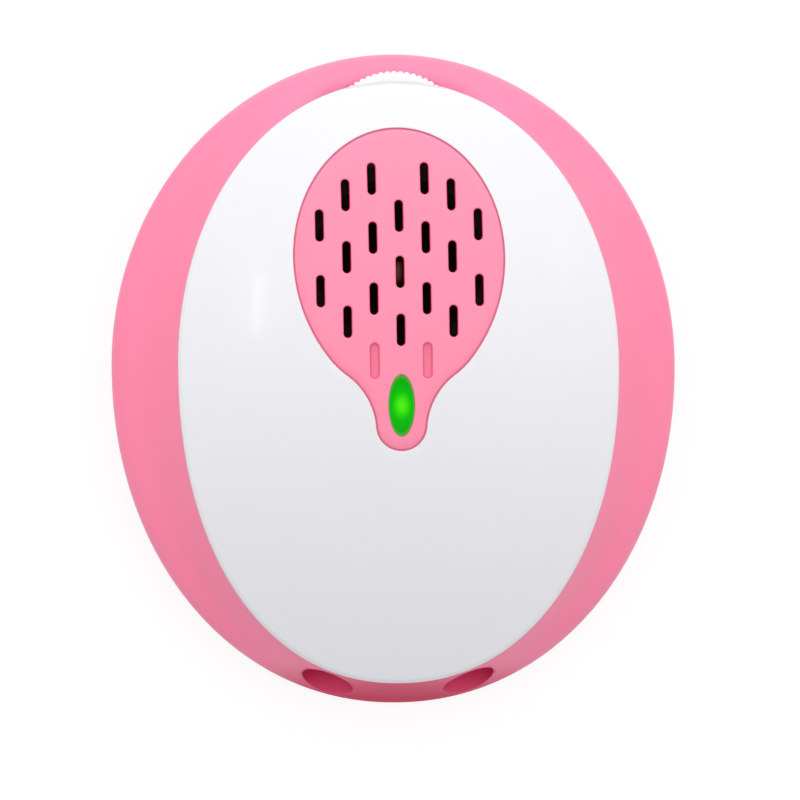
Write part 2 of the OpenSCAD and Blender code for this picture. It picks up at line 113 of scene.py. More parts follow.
def ovalHit(oval, hub, aim, grow=0.0):  # where a line from the hub through aim leaves an oval
    dx, dy = aim[0] - hub[0], aim[1] - hub[1]
    near, far = 0.0, 200.0 / math.hypot(dx, dy)
    for step in range(40):
        middle = (near + far) / 2
        x, y = hub[0] + dx * middle, hub[1] + dy * middle
        half = "Up" if y > oval["midY"] else "Down"
        across = abs(x / (oval["halfWidth"] + grow)) ** oval["bend" + half]
        lengthwise = abs((y - oval["midY"]) / (oval[half.lower()] + grow)) ** oval["bend" + half]
        if across + lengthwise < 1:
            near = middle
        else:
            far = middle
    return x, y


def smooth(low, high, value):  # 0 below low, 1 above high, and an easy curve between
    t = min(max((value - low) / (high - low), 0), 1)
    return t * t * (3 - 2 * t)


def along(points, u):  # reads a list of (place, value) with a smooth curve through its points
    last = len(points) - 2
    i = max(k for k in range(last + 1) if points[k][0] <= u or k == 0)
    (x0, y0), (x1, y1) = points[i], points[i + 1]

    def slope(k):
        a, b = points[max(k - 1, 0)], points[min(k + 1, last + 1)]
        return (b[1] - a[1]) / (b[0] - a[0])
    width = x1 - x0
    t = (u - x0) / width
    return ((2 * t ** 3 - 3 * t ** 2 + 1) * y0 + (t ** 3 - 2 * t ** 2 + t) * width * slope(i)
            + (3 * t ** 2 - 2 * t ** 3) * y1 + (t ** 3 - t ** 2) * width * slope(i + 1))


def wholeTurn(steps):
    return [2 * math.pi * (k + 0.5) / steps for k in range(steps)]


def arc(centre, radius, start, end, count):  # points along an arc, without its last one
    return [(centre[0] + radius * math.cos(a), centre[1] + radius * math.sin(a))
            for a in (start + (end - start) * k / count for k in range(count))]


def useModifier(piece, kind, **settings):  # adds a modifier with its settings and applies it
    bpy.context.view_layer.objects.active = piece
    modifier = piece.modifiers.new(kind.title(), kind)
    for key, value in settings.items():
        setattr(modifier, key, value)
    bpy.ops.object.modifier_apply(modifier=modifier.name)


def finished(piece, name, body, nodes, material, smoothTo=35):  # names a piece, hands it to its body
    piece.name = name
    piece.data.name = name
    bpy.ops.object.select_all(action="DESELECT")
    piece.select_set(True)
    bpy.context.view_layer.objects.active = piece
    bpy.ops.object.transform_apply(location=True, rotation=True, scale=True)
    bpy.ops.object.shade_smooth_by_angle(angle=math.radians(smoothTo))
    # large faces stay even next to small rounded ones
    useModifier(piece, "WEIGHTED_NORMAL", keep_sharp=True)
    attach(piece, body)
    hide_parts(*nodes)
    return paint(piece, material)


def ringSheet(rings):  # a grid whose rows are laid on closed rings of points in mm, then sewn up
    bpy.ops.object.select_all(action="DESELECT")
    rows, columns = len(rings), len(rings[0]) + 1
    bpy.ops.mesh.primitive_grid_add(x_subdivisions=columns - 1, y_subdivisions=rows - 1, size=0.1)
    sheet = bpy.context.active_object
    flat = [c * mm for ring in rings for p in ring + ring[:1] for c in p]
    sheet.data.vertices.foreach_set("co", flat)
    bpy.ops.object.mode_set(mode="EDIT")
    bpy.ops.mesh.select_all(action="SELECT")
    bpy.ops.mesh.remove_doubles(threshold=1e-6)
    bpy.ops.mesh.normals_make_consistent(inside=False)
    bpy.ops.object.mode_set(mode="OBJECT")
    return sheet


def plug(outline, levels, ground=lambda x, y: 0.0):  # closed: one outline, grown or shrunk at each level
    rings = [[(x, y, ground(x, y) + z) for x, y in outline(grow)] for grow, z in levels]
    for place, ring in ((0, rings[0]), (len(rings) + 1, rings[-1])):
        middle = tuple(sum(p[i] for p in ring) / len(ring) for i in range(3))
        rings.insert(place, [middle] * len(ring))
    return ringSheet(rings)


def mouthed(depth, mouth, above=1.5):  # levels of a hole whose mouth is rounded outwards
    levels = [(0, -depth), (0, -mouth)]
    for k in range(1, 5):
        bend = math.radians(76) * k / 4
        levels.append((mouth * (1 - math.cos(bend)), -mouth * (1 - math.sin(bend))))
    return levels + [(mouth * 1.4, mouth * 0.4), (mouth * 1.4, above)]


def fromBelow(levels):
    return [(grow, -z) for grow, z in reversed(levels)]


def circle(x, y, radius, steps=96):
    return lambda grow: arc((x, y), radius + grow, 0, 2 * math.pi, steps)


def roundRect(x, y, width, length, corner, steps=8):
    def outline(grow):
        points = []
        for k, (sx, sy) in enumerate(((1, 1), (-1, 1), (-1, -1), (1, -1))):
            centre = (x + sx * (width / 2 - corner), y + sy * (length / 2 - corner))
            radius, last = corner + grow, (k + 1) * math.pi / 2
            points += arc(centre, radius, k * math.pi / 2, last, steps)
            points.append((centre[0] + radius * math.cos(last), centre[1] + radius * math.sin(last)))
        return points
    return outline


def joined(parts):
    bpy.ops.object.select_all(action="DESELECT")
    for part in parts:
        part.select_set(True)
    bpy.context.view_layer.objects.active = parts[0]
    bpy.ops.object.join()
    return parts[0]


def cut(piece, *cutters, operation="DIFFERENCE"):  # takes the cutters out of the piece, or adds them to it
    for cutter in cutters:
        useModifier(piece, "BOOLEAN", operation=operation, object=cutter, solver="EXACT")
        bpy.data.objects.remove(cutter)


def turned(profile, steps, x, y):  # a round piece drawn out ring by ring, from a list of (radius, height)
    bpy.ops.object.select_all(action="DESELECT")
    radius, height = profile[0]
    bpy.ops.mesh.primitive_circle_add(vertices=steps, radius=radius * mm, fill_type="NOTHING",
                                      location=(x * mm, y * mm, height * mm))
    piece = bpy.context.active_object
    bpy.ops.object.mode_set(mode="EDIT")
    bpy.ops.mesh.select_all(action="SELECT")
    for nextRadius, nextHeight in profile[1:]:
        rise = (nextHeight - height) * mm
        bpy.ops.mesh.extrude_region_move(TRANSFORM_OT_translate={"value": (0, 0, rise)})
        share = nextRadius / radius
        bpy.ops.transform.resize(value=(share, share, 1), center_override=(x * mm, y * mm, nextHeight * mm))
        radius, height = nextRadius, nextHeight
    bpy.ops.mesh.select_all(action="SELECT")
    bpy.ops.mesh.remove_doubles(threshold=2e-6)
    bpy.ops.mesh.normals_make_consistent(inside=False)
    bpy.ops.object.mode_set(mode="OBJECT")
    return piece


def block(x, y, z):  # a plain box between two places on each axis, to build with
    bpy.ops.object.select_all(action="DESELECT")
    bpy.ops.mesh.primitive_cube_add(size=1, location=[(a + b) / 2 * mm for a, b in (x, y, z)])
    bpy.context.active_object.scale = [(b - a) * mm for a, b in (x, y, z)]
    bpy.ops.object.transform_apply(location=True, rotation=False, scale=True)
    return bpy.context.active_object


# moulded plastics: a slight flow mottle in the colour, a fine grain from the mould and uneven gloss
def mouldedPlastic(name, look):
    material = newMaterial(name)
    place = addNode(material, "ShaderNodeTexCoord").outputs["Object"]
    mottle = addNode(material, "ShaderNodeTexNoise", {
        "Vector": place, "Scale": 1 / (look["mottle"] * mm), "Detail": 3.0})
    tint = addNode(material, "ShaderNodeMix", {
        "Factor": mottle.outputs["Fac"], 6: colour(look["base"]), 7: colour(look["shade"])}, data_type="RGBA")
    fine = addNode(material, "ShaderNodeTexNoise", {
        "Vector": place, "Scale": 1 / (look["grain"] * mm), "Detail": 2.0})
    shine = look.get("specular", 0.5)
    if "paintedShade" in look:  # painted shade: the attribute is 1 deep in a slot or recess, where the colour is mixed towards crimson and the shine is lowered
        depth = addNode(material, "ShaderNodeAttribute", attribute_name="paintedShade")
        tint = addNode(material, "ShaderNodeMix", {
            "Factor": depth.outputs["Fac"], 6: tint.outputs[2], 7: colour(look["paintedShade"])}, data_type="RGBA")
        shine = addNode(material, "ShaderNodeMapRange", {
            "Value": depth.outputs["Fac"], "To Min": look["specular"],
            "To Max": look["specular"] * 0.2}).outputs["Result"]
    gloss = addNode(material, "ShaderNodeMapRange", {
        "Value": mottle.outputs["Fac"], "To Min": look["roughness"] * 0.9, "To Max": look["roughness"] * 1.1})
    relief = addNode(material, "ShaderNodeBump", {
        "Height": fine.outputs["Fac"], "Strength": look["bump"], "Distance": 0.02 * mm})
    shader = addNode(material, "ShaderNodeBsdfPrincipled", {
        "Base Color": tint.outputs[2], "Roughness": gloss.outputs["Result"], "IOR": 1.53,
        "Specular IOR Level": shine, "Normal": relief.outputs["Normal"], "Coat Weight": look.get("coat", 0.0),
        "Coat Roughness": 0.08})
    addNode(material, "ShaderNodeOutputMaterial", {"Surface": shader.outputs["BSDF"]})
    return material


# mottle and grain are in mm
plastics = {
    # glossy white ABS, moulded against polished steel: a clear shine with the faintest waviness
    "polishedWhiteAbs": {"base": "#e7e7eb", "shade": "#e5e5e9", "mottle": 15, "grain": 1.2, "bump": 0.15,
                         "roughness": 0.16, "coat": 0.3},
    # the same plastic on the wheel and the probe's ring, dulled by fingers
    "handledWhiteAbs": {"base": "#fbf9fa", "shade": "#f5f3f4", "mottle": 4, "grain": 0.3, "bump": 0.3,
                        "roughness": 0.34},
    # pink ABS, moulded against a finely blasted tool: a soft broad sheen, and painted shade in crimson in the
    # jack recesses and down the skirt at the jack end
    "blastedPinkAbs": {"base": "#fe82a7", "shade": "#fd7fa4", "mottle": 12, "grain": 0.25, "bump": 0.35,
                       "roughness": 0.42, "specular": 0.55, "paintedShade": "#d41c54"},
    # pink ABS of the speaker panel, a little paler, and painted shade in crimson where the light dies down in
    # its slots and under the cover's lip
    "satinPinkAbs": {"base": "#fd8eac", "shade": "#fc8ba9", "mottle": 8, "grain": 0.25, "bump": 0.35,
                     "roughness": 0.45, "specular": 0.4, "paintedShade": "#d8245f"},
    # black nylon and epoxy, moulded: matt with a fine speckle of glass fibre
    "filledBlackNylon": {"base": "#17171a", "shade": "#222226", "mottle": 0.6, "grain": 0.12, "bump": 0.5,
                         "roughness": 0.5},
    # moulded rubber of the seal: dull and nearly even
    "mouldedBlackRubber": {"base": "#131314", "shade": "#1d1d1f", "mottle": 2, "grain": 0.2, "bump": 0.6,
                           "roughness": 0.8},
    # natural nylon, moulded: creamy with a waxy shine
    "naturalNylon": {"base": "#dcd8c8", "shade": "#e6e2d4", "mottle": 3, "grain": 0.4, "bump": 0.2,
                     "roughness": 0.4},
    # red extruded PVC round the leads
    "redPvcSleeve": {"base": "#8e1f22", "shade": "#a3282a", "mottle": 1, "grain": 0.3, "bump": 0.2,
                     "roughness": 0.45},
    # blue shrunk PVC round the capacitors
    "bluePvcSleeve": {"base": "#1b2f72", "shade": "#223a86", "mottle": 1.5, "grain": 0.3, "bump": 0.2,
                      "roughness": 0.3},
    # fired ceramic chips: matt
    "firedTanCeramic": {"base": "#a98f68", "shade": "#bda57e", "mottle": 0.5, "grain": 0.1, "bump": 0.5,
                        "roughness": 0.6},
    # ivory polyurethane cast over the crystals: smooth, even and slightly soft
    "castIvoryPolyurethane": {"base": "#dfdbd0", "shade": "#e4e0d6", "mottle": 9, "grain": 0.6, "bump": 0.2,
                              "roughness": 0.3},
    # tungsten-filled epoxy behind the crystals
    "filledGreyEpoxy": {"base": "#5d5a56", "shade": "#6b6863", "mottle": 0.8, "grain": 0.15, "bump": 0.6,
                        "roughness": 0.7},
    # clear epoxy of the lamp, which looks pale green from the chip inside
    "castClearEpoxy": {"base": "#b8e6b8", "shade": "#c4eec4", "mottle": 1, "grain": 0.5, "bump": 0.1,
                       "roughness": 0.12},
}
looks = {name: mouldedPlastic(name, look) for name, look in plastics.items()}


# pressed or foiled metal: fine lines along one direction, and patches of wear in the shine
def workedMetal(name, base, worn, roughness, line, stretch):
    material = newMaterial(name)
    place = addNode(material, "ShaderNodeTexCoord").outputs["Object"]
    drawn = addNode(material, "ShaderNodeMapping", {"Vector": place, "Scale": stretch})
    lines = addNode(material, "ShaderNodeTexNoise", {
        "Vector": drawn.outputs["Vector"], "Scale": 1 / (line * mm), "Detail": 4.0})
    patches = addNode(material, "ShaderNodeTexNoise", {
        "Vector": place, "Scale": 1 / (2.5 * mm), "Detail": 3.0})
    tint = addNode(material, "ShaderNodeMix", {
        "Factor": patches.outputs["Fac"], 6: colour(base), 7: colour(worn)}, data_type="RGBA")
    gloss = addNode(material, "ShaderNodeMapRange", {
        "Value": lines.outputs["Fac"], "To Min": roughness * 0.75, "To Max": roughness * 1.3})
    relief = addNode(material, "ShaderNodeBump", {
        "Height": lines.outputs["Fac"], "Strength": 0.3, "Distance": 0.01 * mm})
    shader = addNode(material, "ShaderNodeBsdfPrincipled", {
        "Base Color": tint.outputs[2], "Metallic": 1.0, "Roughness": gloss.outputs["Result"],
        "Normal": relief.outputs["Normal"]})
    addNode(material, "ShaderNodeOutputMaterial", {"Surface": shader.outputs["BSDF"]})
    return material


looks["zincPlatedSteel"] = workedMetal("zincPlatedSteel", "#b4b6ba", "#9c9fa4", 0.3, 0.15, (1, 1, 8))
looks["blackenedSteel"] = workedMetal("blackenedSteel", "#242426", "#1a1a1c", 0.45, 0.2, (1, 1, 8))
looks["pressedCopperFoil"] = workedMetal("pressedCopperFoil", "#6b4a3c", "#543a2e", 0.34, 0.3, (1, 1, 1))
looks["firedSilverPaste"] = workedMetal("firedSilverPaste", "#cfcdc6", "#bab7ae", 0.5, 0.1, (1, 1, 1))


# pulp paper and foam: a fibre or cell structure that shows as dark pits
def porous(name, base, pit, cell, depth):
    material = newMaterial(name)
    place = addNode(material, "ShaderNodeTexCoord").outputs["Object"]
    cells = addNode(material, "ShaderNodeTexVoronoi", {"Vector": place, "Scale": 1 / (cell * mm)})
    fibres = addNode(material, "ShaderNodeTexNoise", {
        "Vector": place, "Scale": 1 / (cell * 3 * mm), "Detail": 5.0})
    tint = addNode(material, "ShaderNodeMix", {
        "Factor": cells.outputs["Distance"], 6: colour(pit), 7: colour(base)}, data_type="RGBA")
    height = addNode(material, "ShaderNodeMath", {
        0: cells.outputs["Distance"], 1: fibres.outputs["Fac"]}, operation="ADD")
    relief = addNode(material, "ShaderNodeBump", {
        "Height": height.outputs[0], "Strength": 0.6, "Distance": depth * mm})
    shader = addNode(material, "ShaderNodeBsdfPrincipled", {
        "Base Color": tint.outputs[2], "Roughness": 0.9, "Normal": relief.outputs["Normal"],
        "Specular IOR Level": 0.2})
    addNode(material, "ShaderNodeOutputMaterial", {"Surface": shader.outputs["BSDF"]})
    return material


looks["openCellFoam"] = porous("openCellFoam", "#1c1919", "#070606", 0.35, 0.2)
looks["pulpPaperCone"] = porous("pulpPaperCone", "#140f10", "#090707", 0.12, 0.05)


# fibreglass board under green solder mask: raised tracks show as lighter lines, with tinned holes
def solderMaskBoard():
    material = newMaterial("solderMaskBoard")
    place = addNode(material, "ShaderNodeTexCoord").outputs["Object"]
    waves = []
    for direction in ("X", "Y"):
        waves.append(addNode(material, "ShaderNodeTexWave", {
            "Vector": place, "Scale": 1 / (6.3 * mm), "Distortion": 0.6, "Detail": 0.0},
            bands_direction=direction))
    region = addNode(material, "ShaderNodeTexVoronoi", {
        "Vector": place, "Scale": 1 / (9 * mm)}, distance="MANHATTAN")
    which = addNode(material, "ShaderNodeMath", {
        0: region.outputs["Color"], 1: 0.5}, operation="GREATER_THAN")
    both = addNode(material, "ShaderNodeMix", {
        "Factor": which.outputs[0], 2: waves[0].outputs["Fac"], 3: waves[1].outputs["Fac"]})
    tracks = addNode(material, "ShaderNodeMapRange", {
        "Value": both.outputs[0], "From Min": 0.55, "From Max": 0.65})
    mask = addNode(material, "ShaderNodeMix", {
        "Factor": tracks.outputs["Result"], 6: colour("#0d4423"), 7: colour("#186a38")}, data_type="RGBA")
    holes = addNode(material, "ShaderNodeTexVoronoi", {"Vector": place, "Scale": 1 / (3.2 * mm)})
    tinned = addNode(material, "ShaderNodeMath", {
        0: holes.outputs["Distance"], 1: 0.11}, operation="LESS_THAN")
    tint = addNode(material, "ShaderNodeMix", {
        "Factor": tinned.outputs[0], 6: mask.outputs[2], 7: colour("#a8a9a4")}, data_type="RGBA")
    relief = addNode(material, "ShaderNodeBump", {
        "Height": tracks.outputs["Result"], "Strength": 0.5, "Distance": 0.03 * mm})
    shader = addNode(material, "ShaderNodeBsdfPrincipled", {
        "Base Color": tint.outputs[2], "Metallic": tinned.outputs[0], "Roughness": 0.28,
        "Normal": relief.outputs["Normal"]})
    addNode(material, "ShaderNodeOutputMaterial", {"Surface": shader.outputs["BSDF"]})
    return material


looks["solderMaskBoard"] = solderMaskBoard()


# green polycarbonate over a lamp: brightest in the middle, deeper towards both ends
def litPolycarbonate():
    glow = {"spot": ["#4ff400", "#44ea00", "#22d400", "#02ba00", "#00ac00"], "reach": 2.8, "squeeze": 0.7,
            "rim": "#6d9a48", "rimFrom": 0.86}
    material = newMaterial("litPolycarbonate")
    place = addNode(material, "ShaderNodeTexCoord").outputs["Object"]

    def fromMiddle(scaleX, scaleY):  # distance from the middle of the lens, with each axis scaled
        shift = -ledOval["midY"] * mm * scaleY
        moved = addNode(material, "ShaderNodeMapping", {
            "Vector": place, "Location": (0, shift, 0), "Scale": (scaleX, scaleY, 0)})
        away = addNode(material, "ShaderNodeVectorMath", {0: moved.outputs["Vector"]}, operation="LENGTH")
        return away.outputs["Value"]

    share = addNode(material, "ShaderNodeMapRange", {
        "Value": fromMiddle(1.0, glow["squeeze"]), "From Max": glow["reach"] * mm})
    ramp = addNode(material, "ShaderNodeValToRGB", {"Fac": share.outputs["Result"]})
    ramp.color_ramp.elements[0].color = colour(glow["spot"][0])
    ramp.color_ramp.elements[1].color = colour(glow["spot"][-1])
    for k in (1, 2, 3):
        ramp.color_ramp.elements.new(k / 5).color = colour(glow["spot"][k])
    acrossLens = fromMiddle(1 / (ledOval["halfWidth"] * mm), 1 / (ledOval["up"] * mm))
    rim = addNode(material, "ShaderNodeMapRange", {"Value": acrossLens, "From Min": glow["rimFrom"]})
    light = addNode(material, "ShaderNodeMix", {
        "Factor": rim.outputs["Result"], 6: ramp.outputs["Color"], 7: colour(glow["rim"])}, data_type="RGBA")
    shader = addNode(material, "ShaderNodeBsdfPrincipled", {
        "Base Color": colour("#021c03"), "Roughness": 0.3, "IOR": 1.58, "Specular IOR Level": 0.06,
        "Emission Color": light.outputs[2], "Emission Strength": 1.0})
    addNode(material, "ShaderNodeOutputMaterial", {"Surface": shader.outputs["BSDF"]})
    return material


looks["litPolycarbonate"] = litPolycarbonate()

# pink speaker panel, pear-shaped, with its slots
print("speaker panel")
pear = {"halfWidth": 17.3, "midY": 20.1, "up": 21.2, "down": 22.3, "lowRadius": 14.7, "tipY": -7.8,
        "tipRadius": 3.95, "neckRadius": 12.0, "steps": 60, "thick": 1.35, "lift": 0.15, "edgeWidth": 1.5,
        # the flange's tone is painted shade under the cover's lip
        "edgeDrop": 0.4, "gap": 0.28, "flange": 0.75, "flangeDrop": 0.64, "flangePaintedShade": 0.15}
# the fade is the depth over which painted shade deepens down the slot walls; the blind slots' wall and floor
# tones are painted shade
slots = {"width": 1.35, "length": 5.25, "pitch": 4.39, "mouth": 0.3, "fade": 0.2, "reachX": 1.3,
         "reachY": 3.2,
         "columns": {0: (26.9, 17.6, 8.0), 1: (33.1, 23.3, 13.2), 2: (30.4, 20.1, 9.4), 3: (25.4, 14.5)},
         "blind": {"y": 2.9, "width": 1.5, "length": 5.9, "depth": 0.5, "mouth": 0.25, "floor": 0.3,
                   "reachY": 3.6, "wallPaintedShade": 0.6, "floorPaintedShade": 0.25}}


def pearOutline(grow):  # round top, round lower end, a hollow neck on each side and a small round tip
    low, neckR, tipR, steps = pear["lowRadius"], pear["neckRadius"], pear["tipRadius"], pear["steps"]
    lowY = pear["midY"] + low - pear["down"]
    far, near, span = low + neckR, tipR + neckR, lowY - pear["tipY"]
    drop = (span ** 2 + far ** 2 - near ** 2) / (2 * span)
    neck = (math.sqrt(far ** 2 - drop ** 2), lowY - drop)
    leave = math.atan2(neck[1] - lowY, neck[0])
    arrive = math.atan2(neck[1] - pear["tipY"], neck[0])
    deep = pear["down"] - low
    side = (pear["halfWidth"] ** 2 + deep ** 2 - low ** 2) / (2 * (pear["halfWidth"] - low))
    turn = math.atan2(deep, side - pear["halfWidth"])
    right = [((pear["halfWidth"] + grow) * x, pear["midY"] + (pear["up"] + grow) * y)
             for x, y in arc((0, 0), 1, math.pi / 2, 0, steps)]
    right += arc((pear["halfWidth"] - side, pear["midY"]), side + grow, 0, -turn, steps // 3)
    right += arc((0, lowY), low + grow, -turn, leave, steps // 2)
    right += arc(neck, neckR - grow, leave + math.pi, arrive + math.pi, steps // 2)
    right += arc((0, pear["tipY"]), tipR + grow, arrive, -math.pi / 2, steps // 2)
    right.append((0, pear["tipY"] - tipR - grow))
    return right + [(-x, y) for x, y in right[-2:0:-1]]


def towardsSpine(points, share):  # shrinks the pear evenly towards a line down its middle
    spine = [min(max(y, pear["tipY"] + 2), pear["midY"] + 2) for x, y in points]
    return [(x * share, s + (y - s) * share) for (x, y), s in zip(points, spine)]


def capsule(x, y, width, length, steps=10):  # a slot's outline
    def outline(grow):
        radius, reach = width / 2 + grow, (length - width) / 2
        return (arc((x, y + reach), radius, 0, math.pi, steps) + [(x - radius, y + reach)]
                + arc((x, y - reach), radius, math.pi, 2 * math.pi, steps) + [(x + radius, y - reach)])
    return outline


def panelZ(x, y):
    return domeZ(x, y) + pear["lift"]


def panelRings():
    inner, outer = pearOutline(-pear["edgeWidth"]), pearOutline(pear["flange"])
    rings = [[(x, y, panelZ(x, y)) for x, y in towardsSpine(inner, k / 24)] for k in range(24)]
    for k in range(9):  # the rounded edge
        inset = pear["edgeWidth"] * (1 - math.sin(math.pi / 2 * k / 8))
        drop = pear["edgeDrop"] * (1 - math.cos(math.pi / 2 * k / 8))
        rings.append([(x, y, panelZ(x, y) - drop) for x, y in pearOutline(-inset)])
    for outline in (pearOutline(0), outer):  # the flange that lies under the cover's lip
        rings.append([(x, y, panelZ(x, y) - pear["flangeDrop"]) for x, y in outline])
    for k in range(13):  # the flat underside
        rings.append([(x, y, panelZ(x, y) - pear["thick"]) for x, y in towardsSpine(outer, 1 - k / 12)])
    return rings


panel = ringSheet(panelRings())
cutters = []
for column, heights in slots["columns"].items():
    for y in heights:
        for side in ((-1, 1) if column else (1,)):
            slotOutline = capsule(side * column * slots["pitch"], y, slots["width"], slots["length"])
            cutters.append(plug(slotOutline, mouthed(3.5, slots["mouth"]), panelZ))
blind = slots["blind"]
for side in (-1, 1):
    slotOutline = capsule(side * slots["pitch"], blind["y"], blind["width"], blind["length"])
    blindLevels = [(-blind["floor"], -blind["depth"])] + mouthed(blind["depth"] - 0.08, blind["mouth"])
    cutters.append(plug(slotOutline, blindLevels, panelZ))
ledGap = 0.03


def ledHole(grow):
    return [ovalPoint(ledOval, t, grow + ledGap) for t in wholeTurn(64)]


cutters.append(plug(ledHole, mouthed(3.5, 0.1), panelZ))
cut(panel, joined(cutters))


def paintedSlotShade(x, y, z):  # painted shade: 0 on the open face, 1 where little light comes in, less in the blind slots and a little on the flange under the cover's lip
    depth = panelZ(x, y) - z
    column = round(abs(x) / slots["pitch"])
    if abs(abs(x) - column * slots["pitch"]) < slots["reachX"] and column < 4:
        if column == 1 and abs(y - blind["y"]) < blind["reachY"]:
            onFloor = depth > blind["depth"] - 0.01
            return blind["floorPaintedShade"] if onFloor else blind["wallPaintedShade"] * smooth(0, slots["fade"], depth)
        if any(abs(y - middle) < slots["reachY"] for middle in slots["columns"][column]):
            return smooth(0, slots["fade"], depth)
    return pear["flangePaintedShade"] if depth > pear["edgeDrop"] + 0.1 else 0.0


# painted shade on the panel's points, read by its material
paintedShadeAndPaperTone = panel.data.attributes.new("paintedShade", "FLOAT", "POINT")
paintedShadeAndPaperTone.data.foreach_set("value", [paintedSlotShade(*(v.co / mm)) for v in panel.data.vertices])
finished(panel, "speakerPanel", "case", ["speaker_grille"], looks["satinPinkAbs"])

# white glossy cover over the whole front, with a pear-shaped hole for the panel
print("cover")
coverLook = {"edgeRound": 0.75, "wall": 2.0, "lowZ": 21.7, "holeRound": 0.2, "lip": 0.44, "lipWide": 0.75,
             "hub": (0.0, 12.0), "rings": 30, "wheelRoom": 11.6, "wheelLift": 0.6, "wheelRound": 2.2,
             "overlap": 0.3}
wheelDip = {"z": 19.1, "from": 7.5, "to": 22.0}  # the shoulder's upper edge is this low around the wheel


def shoulderTop(x, y):  # height of the shoulder where it meets the cover
    z = domeZ(x, y) - coverLook["edgeRound"] - 0.1
    away = smooth(wheelDip["from"], wheelDip["to"], abs(x)) if y > 0 else 1.0
    return z - (z - wheelDip["z"]) * (1 - away)


def coverRings():
    look, hub = coverLook, coverLook["hub"]
    hole = pearOutline(pear["gap"])
    brim = pearOutline(pear["gap"] + look["holeRound"])

    wallTop = [ovalHit(coverOval, hub, p) for p in hole]  # the edge is rounder beside the wheel
    rounds = [look["edgeRound"] + look["wheelRound"] * (1 - smooth(5, 15, abs(x))) * (y > 0)
              for x, y in wallTop]

    def edge(share, beyond=0.0):
        return [ovalHit(coverOval, hub, p, beyond - r * share) for p, r in zip(hole, rounds)]

    def between(start, end, share):
        return [(a + (c - a) * share, b + (d - b) * share) for (a, b), (c, d) in zip(start, end)]

    def onDome(points, drop):
        return [(x, y, domeZ(x, y) - drop) for x, y in points]

    rebate = pearOutline(pear["gap"] + look["lipWide"])
    rings = [onDome(rebate, look["wall"]), onDome(rebate, look["lip"]), onDome(hole, look["lip"]),
             onDome(hole, look["holeRound"])]
    for k in range(1, 4):
        bend = math.pi / 2 * k / 4
        grown = pearOutline(pear["gap"] + look["holeRound"] * (1 - math.cos(bend)))
        rings.append(onDome(grown, look["holeRound"] * (1 - math.sin(bend))))
    top = edge(1)
    for k in range(look["rings"] + 1):
        share = k / look["rings"]
        rings.append(onDome(between(brim, top, share + 0.12 * math.sin(2 * math.pi * share) / 2), 0))
    for k in range(1, 9):  # the rounded edge, turning down into the wall
        bend = math.pi / 2 * k / 8
        rings.append([(x, y, domeZ(x, y) - r * (1 - math.cos(bend)))
                      for (x, y), r in zip(edge(1 - math.sin(bend)), rounds)])
    inside = edge(0, -look["wall"])

    def foot(x, y):  # the lower edge of the wall: over the wheel, and down behind the shoulder beside it
        if y > 0 and abs(x) < look["wheelRoom"]:
            return look["lowZ"] + look["wheelLift"]
        return min(look["lowZ"], shoulderTop(x, y) - look["overlap"])
    rings.append([(x, y, foot(x, y)) for x, y in wallTop])
    rings.append([(x, y, foot(*outer)) for (x, y), outer in zip(inside, wallTop)])
    for k in range(9):
        under = between(inside, rebate, k / 8)
        sink = look["wall"] + 0.2 * (k < 8)
        rings.append([(x, y, domeZ(x, y) - sink - (r - look["edgeRound"]) * (1 - k / 8))
                      for (x, y), r in zip(under, rounds)])
    return rings


cover = ringSheet(coverRings())
finished(cover, "coverShell", "case", ["front_cover"], looks["polishedWhiteAbs"])

# green indicator lens
print("indicator lens")
lensLook = {"crown": 0.35, "sink": 0.05, "deep": 2.2, "steps": 64}


def lensRing(share):  # the lens's outline, shrunk towards its middle
    outline = [ovalPoint(ledOval, t) for t in wholeTurn(lensLook["steps"])]
    return [(x * share, ledOval["midY"] + (y - ledOval["midY"]) * share) for x, y in outline]


rings = []
for drop, share in ((lensLook["deep"], 0), (lensLook["deep"], 1), (lensLook["sink"] + 0.1, 1)):
    rings.append([(x, y, domeZ(x, y) - drop) for x, y in lensRing(share)])
for k in range(13):
    bend = math.pi / 2 * k / 12
    share, height = math.cos(bend), lensLook["crown"] * math.sin(bend) - lensLook["sink"]
    rings.append([(x, y, domeZ(x, y) + height) for x, y in lensRing(share)])
lens = ringSheet(rings)
finished(lens, "indicatorLens", "case", ["led_lens"], looks["litPolycarbonate"])

# knurled thumbwheel
print("volume wheel")
wheel = {"radius": 12.1, "y": 39.0, "z": 19.3, "thick": 2.6, "knurls": 68, "knurl": 0.42, "room": 0.4,
         "bore": 3.0, "hub": 4.4, "hubDeep": 1.1, "web": 10.6, "webDrop": 0.15}
wheelTurns = [2 * math.pi * k / (wheel["knurls"] * 8) for k in range(wheel["knurls"] * 8)]


def knurled(inset, z):
    ring = []
    for t in wheelTurns:
        wave = abs(math.cos(wheel["knurls"] * t / 2)) ** 0.7
        radius = wheel["radius"] - wheel["knurl"] * (1 - wave) - inset
        ring.append((radius * math.cos(t), wheel["y"] + radius * math.sin(t), z))
    return ring


def plainRing(radius, z):
    return [(radius * math.cos(t), wheel["y"] + radius * math.sin(t), z) for t in wheelTurns]


low, high = wheel["z"], wheel["z"] + wheel["thick"]
bore, hub, web = wheel["bore"], wheel["hub"], wheel["web"]
webZ, hubZ = high - wheel["webDrop"], high - wheel["hubDeep"]
rings = [plainRing(bore, low), plainRing(web, low), knurled(0.35, low), knurled(0.1, low + 0.1),
         knurled(0, low + 0.35), knurled(0, high - 0.4), knurled(0.12, high - 0.12), knurled(0.42, high),
         plainRing(web + 0.3, high), plainRing(web, webZ), plainRing(hub + 0.2, webZ),
         plainRing(hub, high - 0.3), plainRing(hub, hubZ), plainRing(bore, hubZ), plainRing(bore, low)]
volumeWheel = ringSheet(rings)
finished(volumeWheel, "knurledWheel", "wheel", ["volume_wheel"], looks["handledWhiteAbs"])

